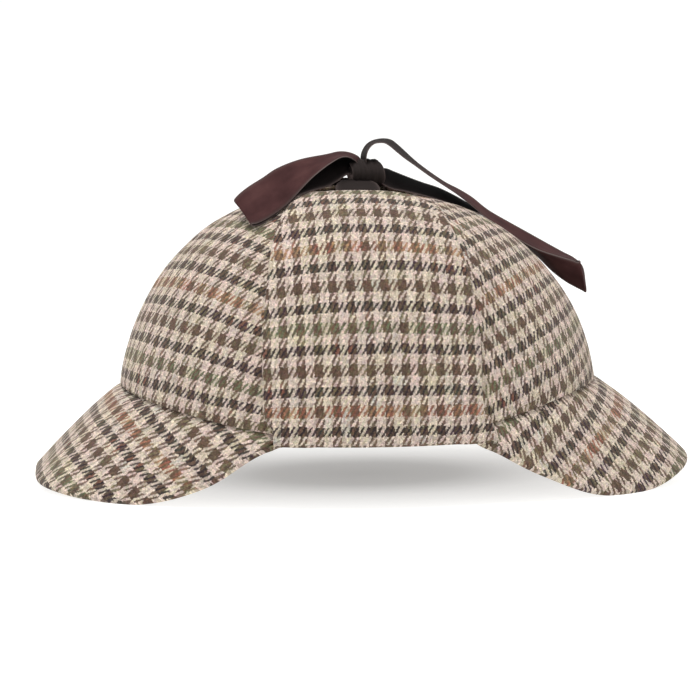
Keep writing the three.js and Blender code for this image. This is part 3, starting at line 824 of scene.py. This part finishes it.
# %% Ear flaps
FLAP_THICKNESS, FLAP_CLEARANCE = 2.2, 1.1
FLAP_HALF_WIDTH, FLAP_FOOT_X, FLAP_MIDDLE_X, FLAP_LEAN_ENDS = 44.6, 1.8, -3.0, 0.45
FLAP_TIP_Y, FLAP_CORNER_Y, FLAP_CORNER_POWER = 14.0, 58.0, 4
FLAP_TUCK = (0.62, 0.74)  # inside these shares of the width the inner layer reaches in under the hem
FLAP_EDGE, FLAP_PRESSED, FLAP_EASE = 1.1, 0.75, 0.4  # the edge's rounding, how far it is pressed down, waves
FOLD_Z, CORNER_SAG, CORNER_FROM = 26.2, 0.9, 0.9
FLAP_FOLD = [  # of each layer: how far it reaches out at the middle and ends, and its height over the fold
    [(-2.7, 0.6, 1.0), (0.0, 1.2, 1.3), (0.0, 0.8, 3.0)],
    [(-5.1, 0.3, 0.0), (-1.2, 0.9, 0.2), (0.0, 1.0, 2.2)],
]
FIRST_LAID, FOLD_STEPS = 11, 5  # the fold joins this row of the cloth laid on the crown
FLAP_LAY = {"dark_at": 5.5, "stripe": 0, "spacing": 16.3, "ease": 0.00103, "shift": 5.6}


def crown_side(x):
    """How far out the crown's sewn edge is at x."""
    return CROWN_WIDTH * np.sqrt(1 - ((x - CROWN_X) / CROWN_LENGTH) ** 2)


def make_flap(side):
    shares = np.sin(math.pi / 2 * mix(-1, 1, dense_ends(64, (0.03, 0.06, 0.09, 0.12))))
    rise = np.linspace(0, 1, 81)[1:]
    s, t = np.meshgrid(shares, rise)
    x = mix(FLAP_FOOT_X, FLAP_MIDDLE_X, smooth(t / FLAP_LEAN_ENDS)) + s * FLAP_HALF_WIDTH
    foot = crown_side(x)
    last = np.arccos((FLAP_TIP_Y + FLAP_CORNER_Y * np.abs(s) ** FLAP_CORNER_POWER) / foot)
    y = foot * np.cos(t * last)
    wall = np.stack([x, y, crown_z(x, y)], -1)
    normal = crown_normal(x, y)

    foot_x = FLAP_FOOT_X + shares * FLAP_HALF_WIDTH
    foot_y = crown_side(foot_x)
    hem = np.stack([foot_x, foot_y, 0 * foot_x + FOLD_Z], -1)
    hem[:, 2] -= CORNER_SAG * np.clip((np.abs(shares) - CORNER_FROM) / (1 - CORNER_FROM), 0, 1) ** 2
    out = crown_normal(foot_x, foot_y)
    at_middle = 1 - smooth((np.abs(shares) - FLAP_TUCK[0]) / (FLAP_TUCK[1] - FLAP_TUCK[0]))

    to_edge = np.minimum((1 - np.abs(s)) * FLAP_HALF_WIDTH, (1 - t) * last * foot)
    pressed = FLAP_PRESSED * (1 - smooth(to_edge / 5))
    ease = cloth_ease(wall * (1, side, 1), FLAP_EASE) * smooth(to_edge / FIRM_EDGE)
    half = FLAP_THICKNESS / 2
    grids = []
    for layer, rows in enumerate(FLAP_FOLD):
        offset = FLAP_CLEARANCE + FLAP_THICKNESS * layer
        fold = []
        for at_centre, at_ends, height in rows:
            away = offset + mix(at_ends, at_centre, at_middle)
            fold.append(hem + out * away[:, None] + np.array([0, 0, height]))
        swell = (half if layer else -half) * round_edge(to_edge, FLAP_EDGE)
        laid = wall + normal * (FLAP_CLEARANCE + half - pressed + ease + swell)[..., None]
        joined = np.concatenate([fold, laid[FIRST_LAID:FIRST_LAID + 5:2]])
        fold_line = spline(joined, FOLD_STEPS)[:-2 * FOLD_STEPS]
        grids.append(np.concatenate([fold_line, laid[FIRST_LAID + 1:]]))
    back, face = grids
    for grid in grids:
        grid[..., 1] *= side
    origin = np.array([FLAP_MIDDLE_X, side * (CROWN_WIDTH + FLAP_CLEARANCE + FLAP_THICKNESS), HEM_Z])
    inward, up_wall = np.array([0, -side, 0.0]), np.array([0, 0, 1.0])
    on_wall = face[len(fold_line) - 4:, len(shares) // 2]
    curve = np.vstack([[0, 0], np.stack([(on_wall - origin) @ inward, (on_wall - origin) @ up_wall], -1)])
    up, sag = along_grain(face, origin, inward, up_wall, curve)
    threads = threads_of(arc_length((face[..., 0] - FLAP_MIDDLE_X) * -side, sag), up, FLAP_LAY)
    name = "left" if side > 0 else "right"
    return closed_sheet(f"tweed_{name}_ear_flap", face, back, threads, "tweed", "ear_flap_" + name)


flaps = [make_flap(1), make_flap(-1)]

# %% [markdown]
# ## The bow
# One ribbon comes from each flap's tip, and the two are tied in a bow. A ribbon can't stretch, so it bends
# like a strip of paper: its two edges travel side by side and stay one width apart. Both loops are posed
# against the picture: the near edge is set where it is seen and how far back it lies, and the far edge is
# found on its own line of sight, one ribbon's width away.

# %% Ribbon strips
RIBBON_THICKNESS = 0.5
STEPS_PER_ROW = 8
FOCAL = LENS / SENSOR * PICTURE
ribbon_lengths = {}


def sight_line(px, py):
    across, down = np.array([px, py]) - TARGET_PIXEL
    return unit(across / FOCAL * right - down / FOCAL * upward - backward)


def seen_at(px, py, depth):
    """The point seen at this pixel on the upright plane y = depth."""
    line = sight_line(px, py)
    return eye + line * (depth - eye[1]) / line[1]


def seen_beyond(px, py, start, width):
    """The point seen at this pixel, behind another one and this far from it."""
    line = sight_line(px, py)
    ahead = (start - eye) @ line
    beside = np.linalg.norm(start - eye - ahead * line)
    return eye + line * (ahead + math.sqrt(max(width**2 - beside**2, 0)))


def posed(rows):
    """Rows of (near pixel x, y, depth, far pixel x, y, width if gathered) as pairs of points."""
    made = []
    for near_x, near_y, depth, far_x, far_y, *gathered in rows:
        near = seen_at(near_x, near_y, depth)
        width = gathered[0] if gathered else RIBBON_WIDTH
        made.append((near, seen_beyond(far_x, far_y, near, width)))
    return made


def ribbon(name, rows, node, across=9, hollow=0.25, pleats=0, pleat_depth=0.0, start=200.0):
    """A strip through rows of (near point, far point). Under about 62 mm along from start it is painted a
    darker grey, as shade.
    """
    near, far = [spline([row[k] for row in rows], STEPS_PER_ROW) for k in (0, 1)]
    share = np.linspace(0, 1, across)[None, :, None]
    line = near[:, None] + (far - near)[:, None] * share
    normal = unit(np.cross(np.gradient(line, axis=0), np.gradient(line, axis=1)))
    sunk = hollow * (1 - (2 * share - 1) ** 2) + pleat_depth * np.cos(2 * math.pi * pleats * share)
    line = line - normal * sunk
    half = RIBBON_THICKNESS / 2
    middle = (near + far) / 2
    travelled = np.concatenate([[0], np.cumsum(np.linalg.norm(np.diff(middle, axis=0), axis=1))])
    sideways = (share[0, :, 0] - 0.5) * RIBBON_WIDTH
    threads = np.stack(np.meshgrid(travelled + start, sideways, indexing="ij"), -1)
    ribbon_lengths[name] = float(travelled[-1])
    widths = np.linalg.norm(far - near, axis=1)
    print(f"{name}: {widths.min():.1f} to {widths.max():.1f} mm wide")
    face, back = line + normal * half, line - normal * half
    return closed_sheet(name, face, back, threads, "ribbon", node, INNER_SIDE)


# %% Loops
BACK_LOOP = [
    (360, 167, -2, 361.5, 161, 9), (355.5, 161, -4, 357.5, 156.3, 13), (349, 157.3, -7, 350, 152.9, 17),
    (342, 157.2, -9.5, 340.5, 151.7), (331, 163, -13, 326, 154.6), (312.5, 177.5, -17, 300, 159.7),
    (295, 196, -22, 276, 169), (285, 206, -26, 262.5, 178), (268.8, 217.5, -31, 247.5, 187.5),
    (257, 223.2, -33, 238.5, 195), (251.3, 224.3, -33.5, 234.4, 200.4), (253, 226, -33, 236.6, 203),
    (261, 224.5, -32, 244.5, 198), (270, 218.5, -30, 254, 191), (285, 207, -26, 268, 183),
    (297, 196.5, -21, 283, 178), (312.5, 191, -17, 301, 171), (328.8, 186, -12, 320, 161.5),
    (337.5, 181, -9, 332.5, 157), (346, 175, -6.5, 344.5, 154.3), (353, 173, -3.5, 353, 156, 16),
    (358, 168, -1, 359, 157, 12),
]
FRONT_LOOP = [
    (366, 163.5, -4, 361, 162.5, 11), (366.2, 157, -6, 361.2, 155.6, 16),
    (367.3, 152, -6.3, 362.8, 150.2), (370, 147.2, -6, 366.2, 144.9),
    (374.2, 143.7, -5.8, 371.2, 141.3), (379, 142.6, -5.5, 377.3, 139.4), (385, 143, -5, 384.5, 138.8),
    (390.5, 146.3, -5, 391, 140.1), (396, 150.9, -4.6, 396.6, 144.1), (404.7, 158, -4, 405.6, 152.2),
    (410.4, 162, -3.5, 411.6, 157.8), (416.3, 166.2, -3, 417.6, 163), (428.5, 175, -2, 430, 172.3),
    (444, 185.3, -0.5, 445.5, 182.6), (456, 193.2, 1, 458.5, 189.3), (467, 201.5, 3, 471.5, 197.2),
    (482, 214, 5, 487.4, 209.8), (503.5, 230, 7, 508.3, 222), (521.5, 241, 8, 526, 231.8),
    (539.5, 250, 8.5, 543.5, 241.6), (560, 256.4, 8.5, 562, 251.8), (572, 259.8, 8, 574, 258.2),
    (577.5, 260.8, 7.8, 582, 266), (579.7, 261, 7.6, 585, 281), (580, 261.6, 7.4, 585.6, 292),
    (578, 262.5, 7, 583, 290.5), (571, 260.3, 7, 577.4, 287.7), (555, 255.5, 7, 566, 281.3),
    (540, 250.5, 7, 553, 271.5), (526.5, 244.2, 7, 537, 256), (513, 235.7, 6.5, 520, 243.5),
    (497.5, 226.5, 5.5, 502, 231), (482, 215, 4, 486, 216), (469, 210.5, 2, 471, 205.3),
    (452, 205, 0, 455, 196), (436, 199.5, -1, 438.5, 188), (420, 195, -2, 422, 182.6),
    (405, 191.5, -3, 407, 177), (392, 189, -4, 394, 171.8, 18), (384, 185, -5, 385, 168.5, 15),
    (376, 178, -4, 376.5, 170, 9),
]
ribbons = [
    ribbon("ribbon_back_loop", [row[::-1] for row in posed(BACK_LOOP)], "bow_loop_back"),
    # starting at 0, the front loop is painted in the darker grey shade near the knot
    ribbon("ribbon_front_loop", posed(FRONT_LOOP), "bow_loop_front", start=0.0),
]

# %% Ends and ties
TAILS = {  # rows of x, y, height over the crown and width
    "front": [(5, 3, 4.6, 7), (7.5, 11, 4.6, 11), (9.5, 21, 5, 16), (13, 32, 5, 19), (17.5, 43, 5, 19),
              (22, 53, 5, 19)],
    "back": [(-2.6, 3, 4.6, 7), (-6, 11, 4.6, 11), (-10.5, 21, 5, 16), (-15.5, 31, 5, 19), (-21, 41, 5, 19),
             (-26.5, 50, 5, 19)],
}
TIE_X = -3.0
TIE = [  # rows of y, z and width
    (16, 124.9, 19), (13.4, 126.3, 18.5), (10.8, 127.4, 17), (8.2, 128.2, 14), (5, 128.8, 10),
]


def laid_on_crown(x, y, lift, width):
    x, y = np.array(float(x)), np.array(float(y))
    out = crown_normal(x, y)
    middle = np.array([x, y, crown_z(x, y)]) + out * lift
    half = unit(np.array([out[2], 0, -out[0]])) * width / 2
    return middle + half, middle - half


for end, rows in TAILS.items():
    ribbons.append(ribbon(f"ribbon_{end}_end", [laid_on_crown(*row) for row in rows], "bow_tail_" + end))
for side, name in ((1, "left"), (-1, "right")):
    rows = []
    for reach, z, width in TIE:
        half = side * width / 2
        rows.append(((TIE_X - half, side * reach, z), (TIE_X + half, side * reach, z)))
    # starting below 0 paints the whole tie in the darker grey painted shade
    ribbons.append(ribbon(f"ribbon_{name}_tie", rows, "ribbon_tie_" + name, hollow=0.1, start=-60.0))
print("ribbon lengths, mm:", {name: round(length) for name, length in ribbon_lengths.items()})

# %% [markdown]
# ## The knot
# Where the loops cross, the gathered ribbon swells into a small pad, and a band of ribbon wraps it twice
# from top to bottom, sliding forwards as it goes. Tying it by simulation would take long for something a
# thumbnail wide, so the pad is an oval with its pleats pressed in, and the band is a strip bent round it.

# %% Knot
KNOT = {"x": 1.2, "z": 131.2, "length": 7.4, "width": 6.6, "height": 4.3, "seat": 126.4}
KNOT_POWER, KNOT_PLEATS, PLEAT_HEIGHT, PLEAT_TWIST = 0.75, 6, 0.45, 2.2
WRAP = {"turns": 1.9, "first": 0.55, "from_x": -0.7, "to_x": 4.2, "width": 9.4, "z": 131.6, "lowest": 126.2,
        "radius_y": 7.2, "radius_z": 4.4, "grow": 0.55, "slide": 1.1, "lean": (0.6, 2.2)}
WRAP_TAPER = (0.94, 0.96)  # how much closer to the middle its near edge lies, in y and z


def closed_round(name, points, threads, fabric, node):
    """A body whose columns go all the way round. Its first and last rows are single points."""
    rows, columns = points.shape[:2]
    index = 1 + np.arange((rows - 2) * (columns - 1)).reshape(rows - 2, columns - 1)
    beside = np.roll(index, -1, axis=1)
    end = index.size + 1
    faces = np.stack([index[:-1], beside[:-1], beside[1:], index[1:]], -1).reshape(-1, 4).tolist()
    faces += [[0, b, a] for a, b in zip(index[0].tolist(), beside[0].tolist())]
    faces += [[end, a, b] for a, b in zip(index[-1].tolist(), beside[-1].tolist())]
    joined = []
    for grid in (points, threads):
        rings = grid[1:-1, :-1].reshape(-1, grid.shape[-1])
        joined.append(np.concatenate([grid[:1, 0], rings, grid[-1:, 0]]))
    return cloth_piece(name, joined[0], faces, joined[1], fabric, node)


def make_knot():
    around, along = np.meshgrid(np.linspace(0, 2 * math.pi, 97), np.linspace(0, math.pi, 61))
    slim = np.sin(along) ** KNOT_POWER
    pleat = PLEAT_HEIGHT * np.sin(along) * np.cos(KNOT_PLEATS * around + PLEAT_TWIST * np.cos(along))
    from_middle = -KNOT["length"] * np.cos(along)
    y = (KNOT["width"] + pleat) * slim * np.cos(around)
    z = KNOT["z"] + (KNOT["height"] + pleat) * slim * np.sin(around)
    points = np.stack([KNOT["x"] + from_middle, y, np.maximum(z, KNOT["seat"])], -1)
    # The pad's threads run only from about -7 to 7 mm along, so all of it is painted in the darker grey
    # shade. Past half-way round they pass the ribbon's edge, so its lower half takes the lighter painted
    # edge highlight.
    threads = np.stack([from_middle, around * 3], -1)
    return closed_round("ribbon_knot", points, threads, "ribbon", "bow_knot")


def make_wrap():
    rows = []
    half = WRAP["width"] / 2
    for share in np.linspace(0, 1, 31):
        turn = math.pi * (WRAP["first"] + 2 * WRAP["turns"] * share)
        x = mix(WRAP["from_x"], WRAP["to_x"], float(smooth(share * WRAP["slide"])))
        grow = WRAP["grow"] * WRAP["turns"] * share
        y = (WRAP["radius_y"] + grow) * math.cos(turn)
        z = max(WRAP["z"] + (WRAP["radius_z"] + grow) * math.sin(turn), WRAP["lowest"])
        lean = mix(*WRAP["lean"], share) * math.cos(turn)
        near = (x - half - lean, y * WRAP_TAPER[0], mix(WRAP["z"], z, WRAP_TAPER[1]))
        rows.append((near, (x + half - lean, y, z)))
    # starting far below 0 paints the whole band in the darker grey painted shade
    return ribbon("ribbon_knot_wrap", rows, "bow_knot", across=33, hollow=-0.6, pleats=3, pleat_depth=0.27,
                  start=-200.0)


knot = make_knot()
ribbons.append(make_wrap())

# %% [markdown]
# ## The cut size of each piece
# The pieces are cloth cut flat and sewn or tied, so each one's cut size is worked out: for the tweed the
# extent of its threads and its area are printed, and for the ribbon its width comes from its area and the
# length that was followed along it.

def flat_size(piece):
    """The extent of a tweed piece along and across its threads, and its flat area, in metres."""
    mesh = piece.data
    uv = np.zeros(len(mesh.loops) * 2, np.float32)
    mesh.uv_layers["cloth"].data.foreach_get("uv", uv)
    spread = np.ptp(uv.reshape(-1, 2), axis=0) * (THREAD, PICK) * MM
    area = sum(polygon.area for polygon in mesh.polygons) / 2
    return (float(spread[0]), float(spread[1])), float(area)


for piece in gores + brims + flaps:
    size, area = flat_size(piece)
    print(f"{piece.name}: {size[0] * 1000:.0f} x {size[1] * 1000:.0f} mm, {area * 1e4:.0f} cm2")
for piece in ribbons:
    length = ribbon_lengths[piece.name] * MM
    width = sum(polygon.area for polygon in piece.data.polygons) / 2 / length
